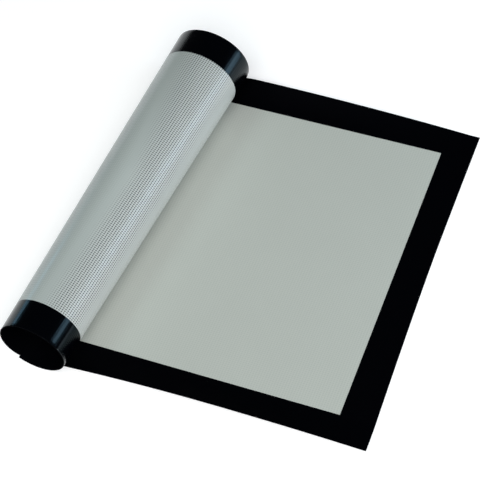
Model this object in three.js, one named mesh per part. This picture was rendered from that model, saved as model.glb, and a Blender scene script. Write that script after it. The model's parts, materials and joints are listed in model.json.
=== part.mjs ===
// A silicone baking mat, partly rolled up: a glass-fibre cloth with a pale silicone coat and a black silicone border.
// +X runs along the mat to its flat end, +Y across it, +Z up. The origin is under the middle of the flat part.
import * as THREE from 'three';

// Driving dimensions, in millimetres and degrees.
const MAT_LENGTH = 595; // laid flat, along X
const MAT_WIDTH = 395; // along Y
const BORDER_WIDTH = 32; // black border on all four sides
const COAT_THICKNESS = 0.3; // silicone on each face of the cloth
const CLOTH_THICKNESS = 0.3; // woven glass fibre
const EDGE_SEAL = 2; // silicone beyond the cut edge of the cloth
const FLAT_LENGTH = 317; // from the flat end to the middle of the line where the mat leaves the table
const ROLL_RADIUS = 42; // mean radius of curvature where the roll starts, halfway along the roll
const ROLL_OVAL = 7.5; // rise and fall of that radius around a turn
const OVAL_TILT = 146; // turn at which the radius is largest
const ROLL_PITCH = 3; // loss of radius in one turn
const ROLL_SKEW = 5.7; // line where the roll starts, against the mat's flat end
const APEX_DISTANCE = 2300; // the roll is a slender cone: from the middle of that line to the cone's point
const ROLL_STRIPS = 13; // stiff strips that stand for the bending sheet
const STRIP_GAP = 0.3; // between neighbouring strips
const STRIP_SEAL = 1; // silicone that closes each strip's ends
const STRIP_FACETS = 4; // flat facets round one strip
const BORDER_SHARE = 0.65; // of the last strip but one, taken up by the panel
const SWEEP_STEP = 0.5; // turn between two entries of the sweep table

const MAT_THICKNESS = 2 * COAT_THICKNESS + CLOTH_THICKNESS;
const NEAR_Y = -MAT_WIDTH / 2;
const FAR_Y = MAT_WIDTH / 2;
const FLAT_END_X = FLAT_LENGTH / 2;
const FREE_END_X = FLAT_END_X - MAT_LENGTH;
const { degToRad, clamp, lerp } = THREE.MathUtils;

const black = new THREE.MeshStandardMaterial({ color: 0x14161a, roughness: 0.5, metalness: 0 });
const pale = new THREE.MeshStandardMaterial({ color: 0xacb5b0, roughness: 0.55, metalness: 0 });
const glassCloth = new THREE.MeshStandardMaterial({ color: 0xdcded6, roughness: 0.8, metalness: 0 });
const MATERIALS = {
  cloth: glassCloth,
  panel: pale,
  near_border: black,
  far_border: black,
  right_border: black,
  free_border: black,
};

// The roll's straight lines all pass through one point, the cone's apex, which lies in the plane of the table.
const skew = degToRad(ROLL_SKEW);
const contactAlong = new THREE.Vector3(Math.sin(skew), Math.cos(skew), 0);
const contactAcross = new THREE.Vector3(Math.cos(skew), -Math.sin(skew), 0);
const UP = new THREE.Vector3(0, 0, 1);
const apex = new THREE.Vector3(-FLAT_LENGTH / 2, 0, 0).addScaledVector(contactAlong, -APEX_DISTANCE);

// Section of the roll halfway along it, as the integral of its radius of curvature:
// ROLL_RADIUS + ROLL_OVAL * cos(2 * (turn - OVAL_TILT)) - ROLL_PITCH per full turn. It starts flat, heading for -X.
function sectionIntegral(turn) {
  const tilt = 2 * degToRad(OVAL_TILT);
  const loss = ROLL_PITCH / (2 * Math.PI);
  const back = ROLL_RADIUS * Math.sin(turn)
    + ROLL_OVAL / 2 * (Math.sin(3 * turn - tilt) / 3 + Math.sin(turn - tilt))
    - loss * (turn * Math.sin(turn) + Math.cos(turn));
  const rise = -ROLL_RADIUS * Math.cos(turn)
    + ROLL_OVAL / 2 * (Math.cos(turn - tilt) - Math.cos(3 * turn - tilt) / 3)
    - loss * (Math.sin(turn) - turn * Math.cos(turn));
  return [-back, rise];
}

// Unit direction of the roll's straight line at a turn, seen from the apex.
function rulingAt(turn) {
  const [x0, z0] = sectionIntegral(0);
  const [x, z] = sectionIntegral(turn);
  return contactAlong.clone().multiplyScalar(APEX_DISTANCE)
    .addScaledVector(contactAcross, x - x0)
    .addScaledVector(UP, z - z0)
    .normalize();
}

// Unit normal of the sheet at a turn, pointing into the roll (up, on the flat part).
function inwardAt(turn) {
  const heading = contactAcross.clone().multiplyScalar(-Math.cos(turn)).addScaledVector(UP, Math.sin(turn));
  return rulingAt(turn).cross(heading).normalize();
}

// Distance from the apex and swing about it of a point of the sheet laid flat. The swing is 0 where the roll starts.
function polar(x, y) {
  const offset = new THREE.Vector3(x, y, 0).sub(apex);
  return { reach: offset.length(), swing: Math.atan2(-offset.dot(contactAcross), offset.dot(contactAlong)) };
}

// Swing of the sheet laid flat that each turn of the roll takes up, in equal steps of turn, as far as the free end.
const sweepStep = degToRad(SWEEP_STEP);
const freeSwing = Math.max(polar(FREE_END_X, NEAR_Y).swing, polar(FREE_END_X, FAR_Y).swing);
const sweepTable = [0];
while (sweepTable.at(-1) < freeSwing) {
  const turn = sweepTable.length * sweepStep;
  sweepTable.push(sweepTable.at(-1) + rulingAt(turn).angleTo(rulingAt(turn - sweepStep)));
}

function turnAt(swing) {
  const after = clamp(sweepTable.findIndex((value) => value >= swing), 1, sweepTable.length - 1);
  const share = (swing - sweepTable[after - 1]) / (sweepTable[after] - sweepTable[after - 1]);
  return (after - 1 + share) * sweepStep;
}

function swingAt(turn) {
  const place = clamp(turn / sweepStep, 0, sweepTable.length - 1.001);
  const before = Math.floor(place);
  return lerp(sweepTable[before], sweepTable[before + 1], place - before);
}

// Where a point of the sheet laid flat ends up, at a height above the sheet's underside.
function place(x, y, height) {
  const { reach, swing } = polar(x, y);
  if (swing <= 0) {
    return new THREE.Vector3(x, y, height);
  }
  const turn = turnAt(swing);
  return apex.clone().addScaledVector(rulingAt(turn), reach).addScaledVector(inwardAt(turn), height);
}

// A line across the mat is the pair of x values where it meets the near and the far edge.
const lineAtX = (x) => [x, x];
const lineAtSwing = (swing) => [NEAR_Y, FAR_Y].map((y) => apex.x + (y - apex.y) * Math.tan(skew - swing));
const shifted = (line, x) => line.map((value) => value + x);
const between = (from, to, share) => from.map((value, end) => lerp(value, to[end], share));
const lineX = (line, y) => lerp(line[0], line[1], (y - NEAR_Y) / MAT_WIDTH);

// Adds the facets from the last line in a list to the next line, each with the pieces that it belongs to.
function addSpans(lines, spans, to, count, span) {
  const from = lines.at(-1);
  for (let step = 1; step <= count; step += 1) {
    lines.push(between(from, to, step / count));
    spans.push(span);
  }
}

// The sheet is a block of cells: spans along the mat, rows across it and layers through its thickness.
const ROW_Y = [NEAR_Y, NEAR_Y + EDGE_SEAL, NEAR_Y + BORDER_WIDTH, FAR_Y - BORDER_WIDTH, FAR_Y - EDGE_SEAL, FAR_Y];
const LAYER_Z = [0, COAT_THICKNESS, COAT_THICKNESS + CLOTH_THICKNESS, MAT_THICKNESS];
const ROW_PIECE = ['near_border', 'near_border', null, 'far_border', 'far_border'];
const CLOTH_LAYER = 1;
const LAST_ROW = ROW_PIECE.length - 1;

function pieceOf(span, row, layer) {
  const clothHere = span.cloth && layer === CLOTH_LAYER && row > 0 && row < LAST_ROW;
  return clothHere ? 'cloth' : ROW_PIECE[row] ?? span.zone;
}

// The skin of one piece: each side of its cells that faces another piece or the air.
function pieceGeometry(piece, lines, spans) {
  const counts = [spans.length, ROW_PIECE.length, LAYER_Z.length - 1];
  const owns = (cell) => cell.every((value, axis) => value >= 0 && value < counts[axis])
    && pieceOf(spans[cell[0]], cell[1], cell[2]) === piece;
  const corners = new Map();
  const positions = [];
  const triangles = [];
  const vertex = (corner) => {
    const key = corner.join(' ');
    if (!corners.has(key)) {
      const y = ROW_Y[corner[1]];
      positions.push(...place(lineX(lines[corner[0]], y), y, LAYER_Z[corner[2]]).toArray());
      corners.set(key, corners.size);
    }
    return corners.get(key);
  };
  const addSide = (cell, axis, side) => {
    const quad = [[0, 0], [1, 0], [1, 1], [0, 1]].map(([u, v]) => {
      const corner = [...cell];
      corner[axis] += side;
      corner[(axis + 1) % 3] += u;
      corner[(axis + 2) % 3] += v;
      return vertex(corner);
    });
    const [a, b, c, d] = quad;
    triangles.push(...(side ? [a, b, c, a, c, d] : [a, c, b, a, d, c]));
  };
  for (let span = 0; span < counts[0]; span += 1) {
    for (let row = 0; row < counts[1]; row += 1) {
      for (let layer = 0; layer < counts[2]; layer += 1) {
        const cell = [span, row, layer];
        for (let axis = 0; owns(cell) && axis < 3; axis += 1) {
          for (const side of [0, 1]) {
            const neighbour = [...cell];
            neighbour[axis] += side ? 1 : -1;
            if (!owns(neighbour)) {
              addSide(cell, axis, side);
            }
          }
        }
      }
    }
  }
  const geometry = new THREE.BufferGeometry();
  geometry.setAttribute('position', new THREE.Float32BufferAttribute(positions, 3));
  geometry.setIndex(triangles);
  geometry.computeVertexNormals();
  return geometry;
}

// One stiff stretch of the mat: a mesh for each piece that it holds. Its lines run from the flat end into the roll.
function stretch(name, lines, spans) {
  const group = new THREE.Group();
  group.name = name;
  const alongX = [...lines].reverse();
  const spansAlongX = [...spans].reverse();
  const zones = new Set(spans.map((span) => span.zone));
  for (const piece of ['cloth', 'near_border', 'far_border', ...zones]) {
    const mesh = new THREE.Mesh(pieceGeometry(piece, alongX, spansAlongX), MATERIALS[piece]);
    mesh.name = `${name}_${piece}`;
    group.add(mesh);
  }
  return group;
}

// The hinge lines between strips lie at equal turns. The flat part keeps the first half strip of the roll, and the inner
// line of the free end's border falls BORDER_SHARE of the way along the last strip but one.
const borderTurn = turnAt(polar(FREE_END_X + BORDER_WIDTH, 0).swing);
const stripTurn = borderTurn / (ROLL_STRIPS - 1.5 + BORDER_SHARE);
const hingeTurn = (strip) => (strip - 0.5) * stripTurn;
const gapSwing = STRIP_GAP / 2 / APEX_DISTANCE;
const sealSwing = STRIP_SEAL / APEX_DISTANCE;

function flatPart() {
  const lines = [lineAtX(FLAT_END_X)];
  const spans = [];
  const end = swingAt(hingeTurn(1)) - gapSwing;
  addSpans(lines, spans, lineAtX(FLAT_END_X - EDGE_SEAL), 1, { cloth: false, zone: 'right_border' });
  addSpans(lines, spans, lineAtX(FLAT_END_X - BORDER_WIDTH), 1, { cloth: true, zone: 'right_border' });
  addSpans(lines, spans, lineAtSwing(0), 1, { cloth: true, zone: 'panel' });
  addSpans(lines, spans, lineAtSwing(end - sealSwing), STRIP_FACETS / 2, { cloth: true, zone: 'panel' });
  addSpans(lines, spans, lineAtSwing(end), 1, { cloth: false, zone: 'panel' });
  return stretch('flat', lines, spans);
}

function rollStrip(strip) {
  const start = swingAt(hingeTurn(strip)) + gapSwing;
  const clothStart = lineAtSwing(start + sealSwing);
  const last = strip === ROLL_STRIPS;
  const stop = swingAt(hingeTurn(strip + 1)) - gapSwing;
  const end = last ? lineAtX(FREE_END_X) : lineAtSwing(stop);
  const clothEnd = last ? shifted(end, EDGE_SEAL) : lineAtSwing(stop - sealSwing);
  // The free end's border starts in this strip if its inner line falls between the ends of the strip's cloth.
  const borderX = FREE_END_X + BORDER_WIDTH;
  const borderLine = clothStart.map((x, side) => clamp(borderX, clothEnd[side] + STRIP_SEAL, x - STRIP_SEAL));
  const panelShare = clothStart.some((x) => borderX < x - STRIP_SEAL);
  const freeShare = clothEnd.some((x) => borderX > x + STRIP_SEAL);
  const zones = [panelShare && 'panel', freeShare && 'free_border'].filter(Boolean);
  const lines = [lineAtSwing(start)];
  const spans = [];
  addSpans(lines, spans, clothStart, 1, { cloth: false, zone: zones[0] });
  for (const zone of zones) {
    const to = zone === zones.at(-1) ? clothEnd : borderLine;
    addSpans(lines, spans, to, STRIP_FACETS / zones.length, { cloth: true, zone });
  }
  addSpans(lines, spans, end, 1, { cloth: false, zone: zones.at(-1) });
  return stretch(`roll_${String(strip).padStart(2, '0')}`, lines, spans);
}

const mat = new THREE.Group();
mat.name = 'baking_mat';
mat.add(flatPart());
for (let strip = 1; strip <= ROLL_STRIPS; strip += 1) {
  mat.add(rollStrip(strip));
}

export default mat;
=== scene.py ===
# %% [markdown]
# # A baking mat, partly rolled up
# The mat is one thin sheet: woven glass cloth under pale silicone, with a black silicone border on all four
# sides. Half of it lies flat, and the rest is rolled into a loose tube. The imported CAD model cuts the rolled
# half into stiff strips on hinges, because motion needs rigid bodies. Here the same sheet is made again as
# smooth, thin pieces that bend across those hinges, with the real finish on them. All lengths are in metres,
# in the frame of the CAD model.

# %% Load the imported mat
import json
import math

import bmesh
import bpy
import numpy as np
from mathutils import Matrix, Quaternion, Vector

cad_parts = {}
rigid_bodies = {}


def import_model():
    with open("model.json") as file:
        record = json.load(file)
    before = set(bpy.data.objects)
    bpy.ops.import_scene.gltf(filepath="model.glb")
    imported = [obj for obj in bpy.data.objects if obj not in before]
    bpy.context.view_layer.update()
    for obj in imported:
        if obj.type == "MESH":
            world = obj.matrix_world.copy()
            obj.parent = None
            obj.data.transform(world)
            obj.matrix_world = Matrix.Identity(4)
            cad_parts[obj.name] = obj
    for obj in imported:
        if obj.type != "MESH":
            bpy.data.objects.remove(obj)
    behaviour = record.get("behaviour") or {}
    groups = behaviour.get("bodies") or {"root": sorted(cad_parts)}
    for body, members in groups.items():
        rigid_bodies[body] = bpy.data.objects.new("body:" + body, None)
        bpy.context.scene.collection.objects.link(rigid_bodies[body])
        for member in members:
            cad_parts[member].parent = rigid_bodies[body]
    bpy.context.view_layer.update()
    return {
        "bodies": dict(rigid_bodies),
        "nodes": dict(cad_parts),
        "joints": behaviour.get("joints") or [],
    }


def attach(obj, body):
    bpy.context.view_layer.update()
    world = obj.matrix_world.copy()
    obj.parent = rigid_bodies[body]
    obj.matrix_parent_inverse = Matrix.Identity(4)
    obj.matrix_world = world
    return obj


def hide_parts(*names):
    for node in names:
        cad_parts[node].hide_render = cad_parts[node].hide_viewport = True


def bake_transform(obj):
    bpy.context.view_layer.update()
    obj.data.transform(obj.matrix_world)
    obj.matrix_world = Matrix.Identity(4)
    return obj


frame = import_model()

# %% [markdown]
# ## How a flat sheet becomes a roll
# A sheet that doesn't stretch can only bend round straight lines. On this mat those lines all pass through
# one far point, the apex, so the roll is a very slender cone, a little wider at its far end. A Bend modifier
# makes plain cylinders only, and a simulation never stops where the photograph wants it. So each point of the
# flat mat is placed by a formula: its distance from the apex stays the same, and its direction follows the
# straight line it lies on.

# %% Sizes of the mat and its roll
MAT_LENGTH = 0.595
MAT_WIDTH = 0.395
BORDER = 0.032
THICKNESS = 0.0009
FLAT_LENGTH = 0.317
ROLL_RADIUS = 0.042
ROLL_OVAL = 0.0075
OVAL_TILT = math.radians(146)
ROLL_PITCH = 0.003
ROLL_SKEW = math.radians(5.7)
APEX_DISTANCE = 2.3

NEAR_Y = -MAT_WIDTH / 2
FAR_Y = MAT_WIDTH / 2
FLAT_END = FLAT_LENGTH / 2
FREE_END = FLAT_END - MAT_LENGTH
UP = np.array([0.0, 0.0, 1.0])
along = np.array([math.sin(ROLL_SKEW), math.cos(ROLL_SKEW), 0.0])
across = np.array([math.cos(ROLL_SKEW), -math.sin(ROLL_SKEW), 0.0])
apex = np.array([-FLAT_LENGTH / 2, 0.0, 0.0]) - APEX_DISTANCE * along
print("straight lines of the roll meet at", np.round(apex, 3))

# %% The straight lines of the roll
MOST_TURN = 480
TURN_STEP = 0.5


def roll_section(turn):
    """Section halfway along the roll: how far the sheet has come and risen after that much turning."""
    tilt = 2 * OVAL_TILT
    loss = ROLL_PITCH / (2 * math.pi)
    back = ROLL_RADIUS * np.sin(turn)
    back = back + ROLL_OVAL / 2 * (np.sin(3 * turn - tilt) / 3 + np.sin(turn - tilt))
    back = back - loss * (turn * np.sin(turn) + np.cos(turn))
    rise = -ROLL_RADIUS * np.cos(turn)
    rise = rise + ROLL_OVAL / 2 * (np.cos(turn - tilt) - np.cos(3 * turn - tilt) / 3)
    rise = rise - loss * (np.sin(turn) - turn * np.cos(turn))
    return -back, rise


def unit(vectors):
    return vectors / np.linalg.norm(vectors, axis=-1, keepdims=True)


def straight_line(turn):
    """Direction from the apex of the straight line that has turned that far."""
    x0, z0 = roll_section(0.0)
    x, z = roll_section(turn)
    return unit(APEX_DISTANCE * along + np.multiply.outer(x - x0, across) + np.multiply.outer(z - z0, UP))


def inward(turn):
    """Normal of the sheet's top face, which is the inside of the roll."""
    heading = np.multiply.outer(np.sin(turn), UP) - np.multiply.outer(np.cos(turn), across)
    return unit(np.cross(straight_line(turn), heading))


turn_table = np.radians(np.arange(0, MOST_TURN, TURN_STEP))
lines = straight_line(turn_table)
steps = np.arccos(np.clip((lines[1:] * lines[:-1]).sum(axis=1), -1, 1))
sweep_table = np.concatenate([[0.0], np.cumsum(steps)])
full_turn = sweep_table[round(360 / TURN_STEP)]
print("a full turn of the roll takes", round(1000 * APEX_DISTANCE * full_turn, 1), "mm of the mat")

# %% [markdown]
# ## The flat half
# It isn't quite flat on the real mat. Both long borders curl up a little, most in the middle of the near
# side, and close to the roll on the far side. Sculpting would do it by eye. A smooth rise across the border,
# with one height and one reach for each side, can be set against the photograph and changed again.

# %% Curl of the two long borders
NEAR_CURL = 0.0092
NEAR_CURL_AT = 0.010
NEAR_CURL_REACH = (0.160, 0.224)
FAR_CURL = 0.0084
FAR_CURL_AT = -0.070
FAR_CURL_REACH = (0.400, 0.220)
CURL_POWER = 1.6
CURL_START = 0.045


def hump(x, top, reach):
    """One at its top, falling to nothing at its reach on either side."""
    share = np.where(x < top, (top - x) / reach[0], (x - top) / reach[1])
    return np.clip(1 - share ** 2, 0, 1)


def smooth(share):
    """Rises from 0 to 1 with a soft start and a soft end."""
    share = np.clip(share, 0, 1)
    return share * share * (3 - 2 * share)


def border_curl(x, y):
    """How far the border is lifted off the table."""
    near = NEAR_CURL * hump(x, NEAR_CURL_AT, NEAR_CURL_REACH)
    far = FAR_CURL * hump(x, FAR_CURL_AT, FAR_CURL_REACH)
    out = np.clip((np.abs(y) - (MAT_WIDTH / 2 - BORDER)) / BORDER, 0, 1)
    from_roll = x + FLAT_LENGTH / 2 - y * math.tan(ROLL_SKEW)
    return np.where(y < 0, near, far) * out ** CURL_POWER * smooth(from_roll / CURL_START)


print("borders curl up by", [1000 * NEAR_CURL, 1000 * FAR_CURL], "mm at most")

# %% [markdown]
# ## Edges that aren't quite straight
# A soft sheet is never a perfect rectangle. Here the right edge runs out a few millimetres towards the near
# corner, the near rim of the roll stands out a little on its left, and the free end inside the roll runs a
# little skew. Pulling single points would do it, but the pieces would part. Small functions of the flat
# position keep them joined, because every piece asks the same function where the edge is.

# %% The two ends and the near rim
RIGHT_FLARE = (0.0050, 0.0010)
FLARE_FROM = 0.045
FLARE_POWER = 1.5
FREE_SKEW = 0.0075
RIM_OUT = 0.0046
RIM_RISE = math.radians(36)
RIM_FALL = math.radians(137)
RIM_DEPTH = 0.050


def flat_end(y):
    """Flat x of the mat's right edge."""
    near = np.clip((FLARE_FROM - y) / (FLARE_FROM - NEAR_Y), 0, 1) ** FLARE_POWER
    far = np.clip((y - FLARE_FROM) / (FAR_Y - FLARE_FROM), 0, 1) ** FLARE_POWER
    return FLAT_END + RIGHT_FLARE[0] * near + RIGHT_FLARE[1] * far


def free_end(y):
    """Flat x of the mat's free edge, inside the roll."""
    return FREE_END + FREE_SKEW * np.clip(y / NEAR_Y, 0, 1)


def rim_out(turn, y):
    """How far the roll stands out towards its near end."""
    part = np.minimum(turn / RIM_RISE, 1 - (turn - RIM_RISE) / RIM_FALL)
    return RIM_OUT * smooth(part) * smooth(1 - (y - NEAR_Y) / RIM_DEPTH)


flare = [round(1000 * float(flat_end(y) - FLAT_END), 1) for y in (NEAR_Y, 0.0, FAR_Y)]
print("right edge runs out by", flare, "mm")

# %% [markdown]
# ## From the flat mat to its place
# Every piece below is drawn on the mat laid flat, where sizes are easy to read, and then put in place by one
# function. Modelling each strip where it lies would need its own corners. The turn that a point has made
# round the roll is looked up in the table above, because the oval section has no short formula for it.

# %% Place any point of the flat mat
NORMAL_STEP = 0.00001


def swing_of(x, y):
    """Angle at the apex, from the line where the mat leaves the table to the point's own straight line."""
    flat = np.stack([x, y, np.zeros_like(x)], axis=-1) - apex
    return np.arctan2(-(flat @ across), flat @ along)


def turn_of(x, y):
    return np.interp(swing_of(x, y), sweep_table, turn_table)


def place(x, y, height):
    """Where the point of the flat mat lies, at that height above its underside."""
    reach = np.hypot(x - apex[0], y - apex[1])
    turn = turn_of(x, y)
    rolled = apex + reach[..., None] * straight_line(turn) + height[..., None] * inward(turn)
    rolled = rolled - rim_out(turn, y)[..., None] * along
    flat = np.stack([x, y, height + border_curl(x, y)], axis=-1)
    return np.where((swing_of(x, y) > 0)[..., None], rolled, flat)


def line_x(turn, y):
    """Flat x, at that y, of the straight line that has turned that far."""
    swing = np.interp(turn, turn_table, sweep_table)
    direction = along * math.cos(swing) - across * math.sin(swing)
    return apex[0] + (y - apex[1]) * direction[0] / direction[1]


def top_normal(x, y):
    """Normal of the mat's top face, from a short step each way along it."""
    level = np.zeros_like(x)
    run = place(x + NORMAL_STEP, y, level) - place(x - NORMAL_STEP, y, level)
    side = place(x, y + NORMAL_STEP, level) - place(x, y - NORMAL_STEP, level)
    return unit(np.cross(run, side))


corner = place(np.array([free_end(NEAR_Y)]), np.array([NEAR_Y]), np.array([0.0]))[0]
print("free near corner, inside the roll, mm:", np.round(1000 * corner, 1))

# %% [markdown]
# ## One piece of the sheet
# Every piece is a thin closed block with two faces, so it can be seen from both sides, exported and weighed.
# A plane with a Solidify modifier would be shorter, but its rim is square. Here the cut edge of the mat is
# half round, as moulded silicone is: close to the edge the two faces draw together along a circle. The pieces
# share their edge points, so no gap shows between them. Each point also stores how near it lies to the turn
# of the long highlight on the roll's right shoulder, where the finish of the back paints glints and shade.

# %% Positions on the flat mat, closer together at a cut edge
HALF = THICKNESS / 2
RIM_STEPS = (0, 30, 60)
RIM = HALF * (1 - np.cos(np.radians(RIM_STEPS)))


def spread(low, high, count, cut_low=False, cut_high=False):
    """Positions from low to high, with extra ones close to an edge that is cut."""
    inner = np.linspace(low + HALF * cut_low, high - HALF * cut_high, count + 1)
    start = low + RIM if cut_low else []
    end = high - RIM[::-1] if cut_high else []
    return np.concatenate([start, inner, end])


def edge_distance(x, y):
    """Distance, on the flat mat, to the nearest cut edge."""
    return np.minimum.reduce([x - free_end(y), flat_end(y) - x, y - NEAR_Y, FAR_Y - y])


print("radius of the half-round cut edge, mm:", 1000 * HALF)

# %% Points of one piece
# Painted glint and shade in the weave sit round the turn of the long highlight, a little wider at the far end.
GLINT_TURN = math.radians(224)
GLINT_REACH = math.radians(49)
GLINT_WIDER = (math.radians(8), math.radians(24))
GLINT_STEEP = 1.5
SAME_POINT = 1e7


def painted_glint_share(x, y):
    """Share of painted glint and shade in the back's weave, 1 on the roll's right shoulder under the
    highlight.
    """
    wider = np.where(y < 0, *GLINT_WIDER) * np.abs(y) / FAR_Y
    from_shoulder = np.abs(turn_of(x, y) - GLINT_TURN + wider)
    return smooth(GLINT_STEEP - GLINT_STEEP * from_shoulder / (GLINT_REACH + wider))


def add_points(bm, x, y):
    """Adds the points of both faces and returns them by side, row and column."""
    laid_flat = bm.verts.layers.float_vector.new("laid_flat")
    lean = bm.verts.layers.float_vector.new("lean")
    painted_glint_zone = bm.verts.layers.float.new("painted_glint_zone")
    edge = edge_distance(x, y)
    draw = np.sqrt(1 - np.clip(1 - edge / HALF, 0, 1) ** 2)
    # The share of painted glint and shade, stored for the back's finish.
    glint_share = painted_glint_share(x, y)
    made = {}
    sides = {}
    for side in (1, -1):
        points = place(x, y, HALF + side * HALF * draw)
        normals = side * top_normal(x, y)
        for i, j in np.ndindex(x.shape):
            which = side if draw[i, j] > 0 else 0
            key = (round(x[i, j] * SAME_POINT), round(y[i, j] * SAME_POINT), which)
            if key not in made:
                made[key] = bm.verts.new(points[i, j])
                u = (x[i, j] - FREE_END) / MAT_LENGTH
                v = (y[i, j] - NEAR_Y) / MAT_WIDTH
                made[key][laid_flat] = (u, v, 0)
                made[key][painted_glint_zone] = glint_share[i, j]
                if j in (0, x.shape[1] - 1) and edge[i, j] >= HALF:
                    made[key][lean] = normals[i, j]
            sides[side, i, j] = made[key]
    return sides


# %% [markdown]
# ### Its faces
# The block gets a top, a back and a wall all round. Each face picks one of the piece's finishes: the top and
# the back have one each, and the cut edge and the border at the free end take the third, which is dull black.
# A colour painted on the points would blur the line between pale and black. Whole faces keep it sharp.

# %% Faces of one piece
TOP = 0
BACK = 1
RIM_OR_DARK = 2
RIM_MARGIN = 1.01


def add_faces(bm, x, y, sides, finish_count, dark_below):
    """Closes the block. What lies left of dark_below on the flat mat takes the third finish."""
    edge = edge_distance(x, y)
    rows, columns = x.shape

    def face(corners, smooth_face, slot):
        ring = [v for n, v in enumerate(corners) if v is not corners[n - 1]]
        if len(set(ring)) < 3:
            return
        made_face = bm.faces.new(ring)
        made_face.smooth = smooth_face
        made_face.material_index = min(slot, finish_count - 1)

    for i in range(rows - 1):
        for j in range(columns - 1):
            square = [(i, j), (i, j + 1), (i + 1, j + 1), (i + 1, j)]
            black = dark_below is not None and np.mean([x[c] for c in square]) < dark_below
            dark = black or max(edge[c] for c in square) < RIM_MARGIN * HALF
            face([sides[1, a, b] for a, b in square], True, RIM_OR_DARK if dark else TOP)
            face([sides[-1, a, b] for a, b in reversed(square)], True, RIM_OR_DARK if dark else BACK)
    ring = [(0, j) for j in range(columns)] + [(i, columns - 1) for i in range(1, rows)]
    ring += [(rows - 1, j) for j in range(columns - 2, -1, -1)] + [(i, 0) for i in range(rows - 2, 0, -1)]
    for a, b in zip(ring, ring[1:] + ring[:1]):
        black = dark_below is not None and x[a] < dark_below
        wall = [sides[-1, *a], sides[-1, *b], sides[1, *b], sides[1, *a]]
        face(wall, False, RIM_OR_DARK if black else TOP)


# %% [markdown]
# ### From points and faces to an object
# The UV map is the mat laid flat, so that the weave follows the sheet round the roll. Unwrapping in the UV
# editor would give each piece its own scale and direction. At the ends of a piece the normals are given, so
# that the light runs over the seam to the next one.

# %% A thin piece with half-round cut edges
def sheet_piece(name, x, y, finish, dark_below=None):
    """Builds one piece on a grid of flat positions, with finishes for top, back, and rim or dark end."""
    bm = bmesh.new()
    sides = add_points(bm, x, y)
    add_faces(bm, x, y, sides, len(finish), dark_below)
    vectors = bm.verts.layers.float_vector
    laid_flat = vectors["laid_flat"]
    lean = vectors["lean"]
    uv = bm.loops.layers.uv.new("laid_flat")
    leaning = []
    for f in bm.faces:
        for loop in f.loops:
            loop[uv].uv = loop.vert[laid_flat].xy
            leaning.append(tuple(loop.vert[lean]) if f.smooth else (0, 0, 0))
    for layer in ("laid_flat", "lean"):
        vectors.remove(vectors[layer])
    mesh = bpy.data.meshes.new(name)
    bm.to_mesh(mesh)
    bm.free()
    mesh.normals_split_custom_set(leaning)
    piece = bpy.data.objects.new(name, mesh)
    bpy.context.scene.collection.objects.link(piece)
    for material in finish:
        mesh.materials.append(material)
    return piece


# %% [markdown]
# ## Pale silicone over glass cloth
# The pale coat is thin, so the square mesh of the cloth lies close under it. It hardly shows on the flat and
# on most of the roll. Over the right shoulder of the roll, under the long highlight, it shows as light threads
# round dark pores; on the back of the mat these are painted glints on the threads and painted shade in the
# pores. An image of cloth would do, but it would blur up close. Two Wave textures, one for each set of
# threads, give the mesh at its real pitch and drive bump, colour and roughness. On the back of the mat, the
# stored share of painted glint mixes the painted mesh in.

# %% Weave of the cloth
MESH_PITCH_X = 0.0027
MESH_PITCH_Y = 0.00225
# At scale 1 the Wave texture has 20 bands in a length of 2 pi.
WAVE_PERIOD = 2 * math.pi / 20
THREAD_POWER = 2.1
THREAD_MERGE = 0.15


def node(tree, kind, **settings):
    """Adds a shader node and sets its options."""
    made = tree.nodes.new(kind)
    for key, value in settings.items():
        setattr(made, key, value)
    return made


def weave(tree):
    """Height of the cloth's threads, from 0 in the hollows to 1 on the threads."""
    link = tree.links.new
    flat_map = node(tree, "ShaderNodeUVMap", uv_map="laid_flat")
    threads = node(tree, "ShaderNodeMapping")
    threads.inputs["Scale"].default_value = (MAT_LENGTH / MESH_PITCH_X, MAT_WIDTH / MESH_PITCH_Y, 1)
    link(flat_map.outputs["UV"], threads.inputs["Vector"])
    sets = []
    for direction in ("X", "Y"):
        wave = node(tree, "ShaderNodeTexWave", wave_type="BANDS", wave_profile="SIN")
        wave.bands_direction = direction
        wave.inputs["Scale"].default_value = WAVE_PERIOD
        link(threads.outputs["Vector"], wave.inputs["Vector"])
        round_top = node(tree, "ShaderNodeMath", operation="POWER")
        round_top.inputs[1].default_value = THREAD_POWER
        link(wave.outputs["Fac"], round_top.inputs[0])
        sets.append(round_top.outputs[0])
    higher = node(tree, "ShaderNodeMath", operation="SMOOTH_MAX")
    higher.inputs[2].default_value = THREAD_MERGE
    link(sets[0], higher.inputs[0])
    link(sets[1], higher.inputs[1])
    return higher.outputs[0]


print("meshes of the cloth:", round(MAT_LENGTH / MESH_PITCH_X), "by", round(MAT_WIDTH / MESH_PITCH_Y))

# %% A coat of silicone
CLOUD_SCALE = 14.0
CLOUD_DETAIL = 3.0
RELIEF_AWAY_FROM_GLINT = 0.15


def between(tree, factor, low, high):
    """A value that runs from low to high with the factor."""
    made = node(tree, "ShaderNodeMapRange")
    made.inputs["To Min"].default_value = low
    made.inputs["To Max"].default_value = high
    tree.links.new(factor, made.inputs["Value"])
    return made.outputs["Result"]


def colours(tree, factor, low, high):
    """A colour that runs from low to high with the factor. High may come from another node."""
    made = node(tree, "ShaderNodeMix", data_type="RGBA")
    made.inputs["A"].default_value = (*low, 1)
    if isinstance(high, tuple):
        made.inputs["B"].default_value = (*high, 1)
    else:
        tree.links.new(high, made.inputs["B"])
    tree.links.new(factor, made.inputs["Factor"])
    return made.outputs["Result"]


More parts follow.
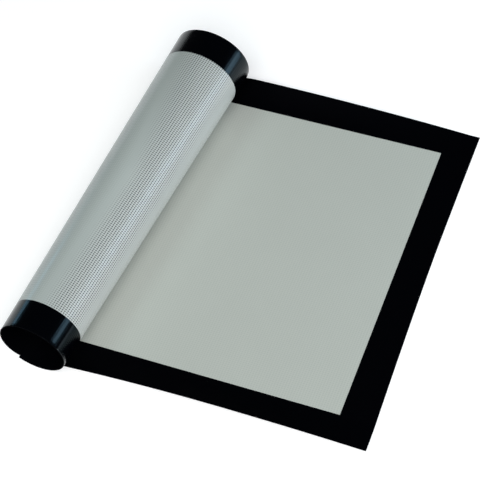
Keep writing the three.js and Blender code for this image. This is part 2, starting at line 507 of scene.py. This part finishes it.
def silicone(name, hollow, thread, mottle, shine, roughness, relief, lit_plain_colour=None, gleam=(1.0, 1.0, 1.0)):
    """A coat on the cloth. Colours and roughness are given in the hollows and on the threads."""
    made = bpy.data.materials.new(name)
    made.use_nodes = True
    tree = made.node_tree
    link = tree.links.new
    shader = tree.nodes["Principled BSDF"]
    shader.inputs["Specular IOR Level"].default_value = shine
    shader.inputs["Specular Tint"].default_value = (*gleam, 1)
    height = weave(tree)
    cloudy = node(tree, "ShaderNodeTexNoise")
    cloudy.inputs["Scale"].default_value = CLOUD_SCALE
    cloudy.inputs["Detail"].default_value = CLOUD_DETAIL
    place_in_frame = node(tree, "ShaderNodeTexCoord")
    link(place_in_frame.outputs["Object"], cloudy.inputs["Vector"])
    coat = colours(tree, height, hollow, thread)
    bump = node(tree, "ShaderNodeBump")
    bump.inputs["Distance"].default_value = relief
    # Painted glint and shade: where the stored share is high, the weave colours, with nearly black pores and
    # light threads, replace the plain colour, and the bump grows.
    if lit_plain_colour:
        painted_glint_zone = node(tree, "ShaderNodeAttribute", attribute_name="painted_glint_zone")
        coat = colours(tree, painted_glint_zone.outputs["Fac"], lit_plain_colour, coat)
        link(between(tree, painted_glint_zone.outputs["Fac"], RELIEF_AWAY_FROM_GLINT, 1.0), bump.inputs["Strength"])
    shade = node(tree, "ShaderNodeHueSaturation")
    link(between(tree, cloudy.outputs["Fac"], 1 - mottle, 1 + mottle), shade.inputs["Value"])
    link(coat, shade.inputs["Color"])
    link(shade.outputs["Color"], shader.inputs["Base Color"])
    link(between(tree, height, *roughness), shader.inputs["Roughness"])
    link(height, bump.inputs["Height"])
    link(bump.outputs["Normal"], shader.inputs["Normal"])
    return made


# %% Pale coats, for the top and for the back
pale_coat = silicone(
    "pale_coat",
    hollow=(0.395, 0.420, 0.383),
    thread=(0.457, 0.475, 0.433),
    mottle=0.02,
    shine=0.45,
    roughness=(0.45, 0.40),
    relief=0.00004,
)
# On the back, the hollow and thread colours are painted shade in the pores and painted glints on the threads,
# shown only under the long highlight. Its plain colour is painted light too: a little lighter and bluer than
# the top's, for the same coat.
pale_back = silicone(
    "pale_back",
    hollow=(0.030, 0.038, 0.038),
    thread=(0.530, 0.568, 0.548),
    mottle=0.02,
    shine=0.6,
    roughness=(0.50, 0.17),
    relief=0.00008,
    lit_plain_colour=(0.424, 0.464, 0.444),
)
print("pale finishes:", [m.name for m in (pale_coat, pale_back)])

# %% [markdown]
# ## Black silicone of the border
# The border is the same cloth under black silicone. Black rubber shows nothing but its highlights. On the top
# face and the cut edge it is dull and plain black. On the back, which is the outside of the roll, it is
# glossier, with a cool gleam from the Specular Tint. Two separate node trees could be built by hand, but one
# function with other values keeps them alike.

# %% Black coats, for the back and for the rest
BLACK_COLOURS = {
    "hollow": (0.0002, 0.0003, 0.0008),
    "thread": (0.0003, 0.0004, 0.0010),
    "mottle": 0.15,
}
black_coat = silicone(
    "black_coat",
    **BLACK_COLOURS,
    shine=0.24,
    roughness=(0.17, 0.13),
    relief=0.00004,
    gleam=(0.65, 0.90, 1.0),
)
black_dull = silicone(
    "black_dull",
    **BLACK_COLOURS,
    shine=0.02,
    roughness=(0.60, 0.50),
    relief=0.00002,
)
print("black finishes:", [m.name for m in (black_coat, black_dull)])

# %% [markdown]
# ## The bed: the half that lies flat
# It is the part of the mat that rests on the table: a pale panel with a border on three sides. It rides on
# the CAD body called flat. One grid for all of it would be simpler, but panel and borders are separate pieces
# of the CAD model and stay so here. The panel ends at the line where the roll starts, which is a little skew.

# %% Bed pieces
PALE = [pale_coat, pale_back]
BLACK = [black_dull, black_coat, black_dull]
BORDER_ROWS = 8
PANEL_ROWS = 25
PANEL_COLUMNS = 40
END_COLUMNS = 6
SIDE_COLUMNS = 60
INNER_NEAR = NEAR_Y + BORDER
INNER_FAR = FAR_Y - BORDER
near_rows = spread(NEAR_Y, INNER_NEAR, BORDER_ROWS, cut_low=True)
far_rows = spread(INNER_FAR, FAR_Y, BORDER_ROWS, cut_high=True)
middle_rows = np.linspace(INNER_NEAR, INNER_FAR, PANEL_ROWS)


def grid(rows, left, right, count, cut_left=False, cut_right=False):
    """Flat positions in rows from left(y) to right(y)."""
    x = np.stack([spread(left(y), right(y), count, cut_left, cut_right) for y in rows])
    y = np.repeat(rows[:, None], x.shape[1], axis=1)
    return x, y


def roll_start(y):
    return line_x(0.0, y)


def panel_end(y):
    return FLAT_END - BORDER


panel_grid = grid(middle_rows, roll_start, panel_end, PANEL_COLUMNS)
right_grid = grid(middle_rows, panel_end, flat_end, END_COLUMNS, cut_right=True)
near_grid = grid(near_rows, roll_start, flat_end, SIDE_COLUMNS, cut_right=True)
far_grid = grid(far_rows, roll_start, flat_end, SIDE_COLUMNS, cut_right=True)
bed = {
    "panel": (panel_grid, PALE, ["flat_panel", "flat_cloth"]),
    "right_border": (right_grid, BLACK, ["flat_right_border"]),
    "near_border": (near_grid, BLACK, ["flat_near_border"]),
    "far_border": (far_grid, BLACK, ["flat_far_border"]),
}
for zone, ((x, y), finish, nodes) in bed.items():
    piece = sheet_piece("bed_" + zone, x, y, finish)
    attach(piece, "flat")
    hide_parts(*nodes)
    print(piece.name, len(piece.data.polygons), "faces")

# %% [markdown]
# ## The roll
# On the real mat the sheet bends evenly all the way round. Each CAD strip is stiff and turns on a hinge, and
# pieces that ride on one strip each would part at the hinges. Here each bend piece stays where it is built,
# with no parent, and only the piece at the free end rides on the last strip.

# %% Flat positions of the roll's pieces
strips = sorted(name for name in frame["bodies"] if name.startswith("roll_"))
chain = ["flat"] + strips
strip_turn = math.radians(frame["joints"][0]["range_deg"][1])
FREE_LINE = FREE_END + BORDER
BEND_STEPS = 16
roll_rows = {"near_border": near_rows, "panel": middle_rows[::2], "far_border": far_rows}


def roll_grid(rows, k):
    """Flat positions of the piece that ends in the middle of strip k, or past them all at the free end."""

    def right(y):
        return line_x((k - 1) * strip_turn, y)

    if k > len(strips):
        return grid(rows, free_end, right, BEND_STEPS, cut_left=True)

    def left(y):
        return line_x(k * strip_turn, y)

    def free_line(y):
        return min(max(FREE_LINE, left(y)), right(y))

    x_free, y_free = grid(rows, left, free_line, BEND_STEPS // 2)
    x_pale, y_pale = grid(rows, free_line, right, BEND_STEPS)
    return np.hstack([x_free[:, :-1], x_pale]), np.hstack([y_free[:, :-1], y_pale])


print(len(strips), "strips, each turned by", round(math.degrees(strip_turn), 2), "degrees")


def node_names(k, zone):
    """CAD nodes that a piece of the roll stands for."""
    names = [f"{chain[k]}_{zone}"]
    if zone == "panel":
        names += [f"{chain[k]}_cloth", f"{chain[k]}_free_border"]
    return [n for n in names if n in frame["nodes"]]


for k in range(1, len(strips) + 2):
    for zone, rows in roll_rows.items():
        x, y = roll_grid(rows, k)
        is_panel = zone == "panel"
        finish = PALE + [black_dull] if is_panel else BLACK
        piece = sheet_piece(f"bend_{k:02d}_{zone}", x, y, finish, FREE_LINE if is_panel else None)
        if k > len(strips):
            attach(piece, chain[-1])
        else:
            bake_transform(piece)
            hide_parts(*node_names(k, zone))
print(len(strips), "bends and a free end, in", len(roll_rows), "zones")

# %% [markdown]
# ## Floor
# The photograph is a cut-out on white, so the ground is one plain white floor. White paint alone would throw
# more light back at the mat, and turn grey where the lamps are weaker. So the floor is a pale grey paint,
# which takes the mat's shadow, with some glow on top that only the camera and mirror-like surfaces see. The
# black coat mirrors that white as well.

# %% White floor
FLOOR_SIZE = 40.0
FLOOR_DROP = 0.0004
FLOOR_COLOUR = (0.62, 0.62, 0.62)
FLOOR_ROUGHNESS = 0.9
FLOOR_GLOW = 0.50
bpy.ops.mesh.primitive_plane_add(size=FLOOR_SIZE, location=(0, 0, -FLOOR_DROP))
floor = bpy.context.object
floor.name = "floor"
floor_paint = bpy.data.materials.new("floor_paint")
floor_paint.use_nodes = True
paint_tree = floor_paint.node_tree
paint = paint_tree.nodes["Principled BSDF"]
paint.inputs["Base Color"].default_value = (*FLOOR_COLOUR, 1)
paint.inputs["Roughness"].default_value = FLOOR_ROUGHNESS
paint.inputs["Specular IOR Level"].default_value = 0.0
paint.inputs["Emission Color"].default_value = (1.0, 1.0, 1.0, 1)

rays = node(paint_tree, "ShaderNodeLightPath")
seen = rays.outputs["Is Camera Ray"]
for kind in ("Is Glossy Ray", "Is Transmission Ray"):
    either = node(paint_tree, "ShaderNodeMath", operation="MAXIMUM")
    paint_tree.links.new(seen, either.inputs[0])
    paint_tree.links.new(rays.outputs[kind], either.inputs[1])
    seen = either.outputs[0]
glow = node(paint_tree, "ShaderNodeMath", operation="MULTIPLY")
glow.inputs[1].default_value = FLOOR_GLOW
paint_tree.links.new(seen, glow.inputs[0])
paint_tree.links.new(glow.outputs[0], paint.inputs["Emission Strength"])
floor.data.materials.append(floor_paint)
print("floor of", FLOOR_SIZE, "m")

# %% [markdown]
# ## Light
# In the photograph soft light falls from the front and the right, and a long highlight runs down the roll. A
# picture of a studio round the scene could light it, but then no highlight can be moved by itself. Five soft
# lamps do it: a large key, a wide strip on the right for the long highlight, a warm lamp low on the right, a
# fill high on the left, so that the roll throws little shadow on the panel, and a small one for a glint on
# the left. Together they light a flat surface about as bright as its colour is written.

# %% Soft lamps
SKY_COLOUR = (0.95, 0.98, 1.0)
SKY_STRENGTH = 0.03
MIDDLE = (-0.03, 0.0, 0.0)
ROLL_MIDDLE = (-0.15, 0.0, 0.06)
STRIP_ALONG = (0.145, 0.845, -0.513)
scene = bpy.context.scene
scene.view_settings.view_transform = "Standard"
world = bpy.data.worlds.new("studio")
world.use_nodes = True
sky = world.node_tree.nodes["Background"]
sky.inputs["Color"].default_value = (*SKY_COLOUR, 1)
sky.inputs["Strength"].default_value = SKY_STRENGTH
scene.world = world


def lamp(name, place_at, aim, size, power, colour, long_side=None):
    """A rectangular soft lamp that faces a point of the mat."""
    data = bpy.data.lights.new(name, "AREA")
    data.shape = "RECTANGLE"
    data.size = size[0]
    data.size_y = size[1]
    data.energy = power
    data.color = colour
    facing = (Vector(place_at) - Vector(aim)).normalized()
    side = Vector(long_side) if long_side else Vector(UP).cross(facing)
    side = (side - side.dot(facing) * facing).normalized()
    made = bpy.data.objects.new(name, data)
    made.rotation_mode = "QUATERNION"
    made.rotation_quaternion = Matrix((side, facing.cross(side), facing)).transposed().to_quaternion()
    made.location = place_at
    scene.collection.objects.link(made)


lamp("key_softbox", (1.0, -2.2, 3.0), MIDDLE, (2.6, 2.5), 154.0, (1.0, 1.0, 1.0))
lamp("right_strip", (0.914, 0.383, 0.445), ROLL_MIDDLE, (0.78, 0.34), 4.2, (0.62, 0.82, 1.0), STRIP_ALONG)
lamp("low_softbox", (2.6, -0.95, 0.14), MIDDLE, (1.2, 0.25), 28.0, (1.0, 0.86, 0.84))
lamp("left_softbox", (-1.2, -1.1, 2.6), MIDDLE, (1.2, 0.9), 18.0, (0.80, 0.98, 1.0))
lamp("left_glint", (-1.55, 0.52, 0.2), ROLL_MIDDLE, (0.3, 0.2), 0.6, (0.40, 0.75, 1.0))

# %% [markdown]
# ## Camera
# The camera looks from where the photograph was taken, as far as the mat's own edges tell. Moving it by hand
# until the picture fits takes long. These values came from a fit of the mat's edges, its border lines and the
# rims of the roll to the photograph.

# %% Camera at the photograph's viewing angle
AZIMUTH = math.radians(27.296)
ELEVATION = math.radians(54.973)
CAMERA_ROLL = math.radians(8.172)
TARGET = Vector((-0.03803, -0.00209, 0.00037))
DISTANCE = 1.90094
LENS = 138.12
SENSOR = 36.0

view_from = Vector((
    math.sin(AZIMUTH) * math.cos(ELEVATION),
    -math.cos(AZIMUTH) * math.cos(ELEVATION),
    math.sin(ELEVATION),
))
camera_data = bpy.data.cameras.new("camera")
camera_data.lens = LENS
camera_data.sensor_width = SENSOR
camera_data.sensor_fit = "HORIZONTAL"
camera = bpy.data.objects.new("camera", camera_data)
camera.location = TARGET + DISTANCE * view_from
camera.rotation_mode = "QUATERNION"
camera.rotation_quaternion = (-view_from).to_track_quat("-Z", "Y") @ Quaternion((0, 0, 1), -CAMERA_ROLL)
scene.collection.objects.link(camera)
scene.camera = camera
print("camera at", [round(v, 3) for v in camera.location])
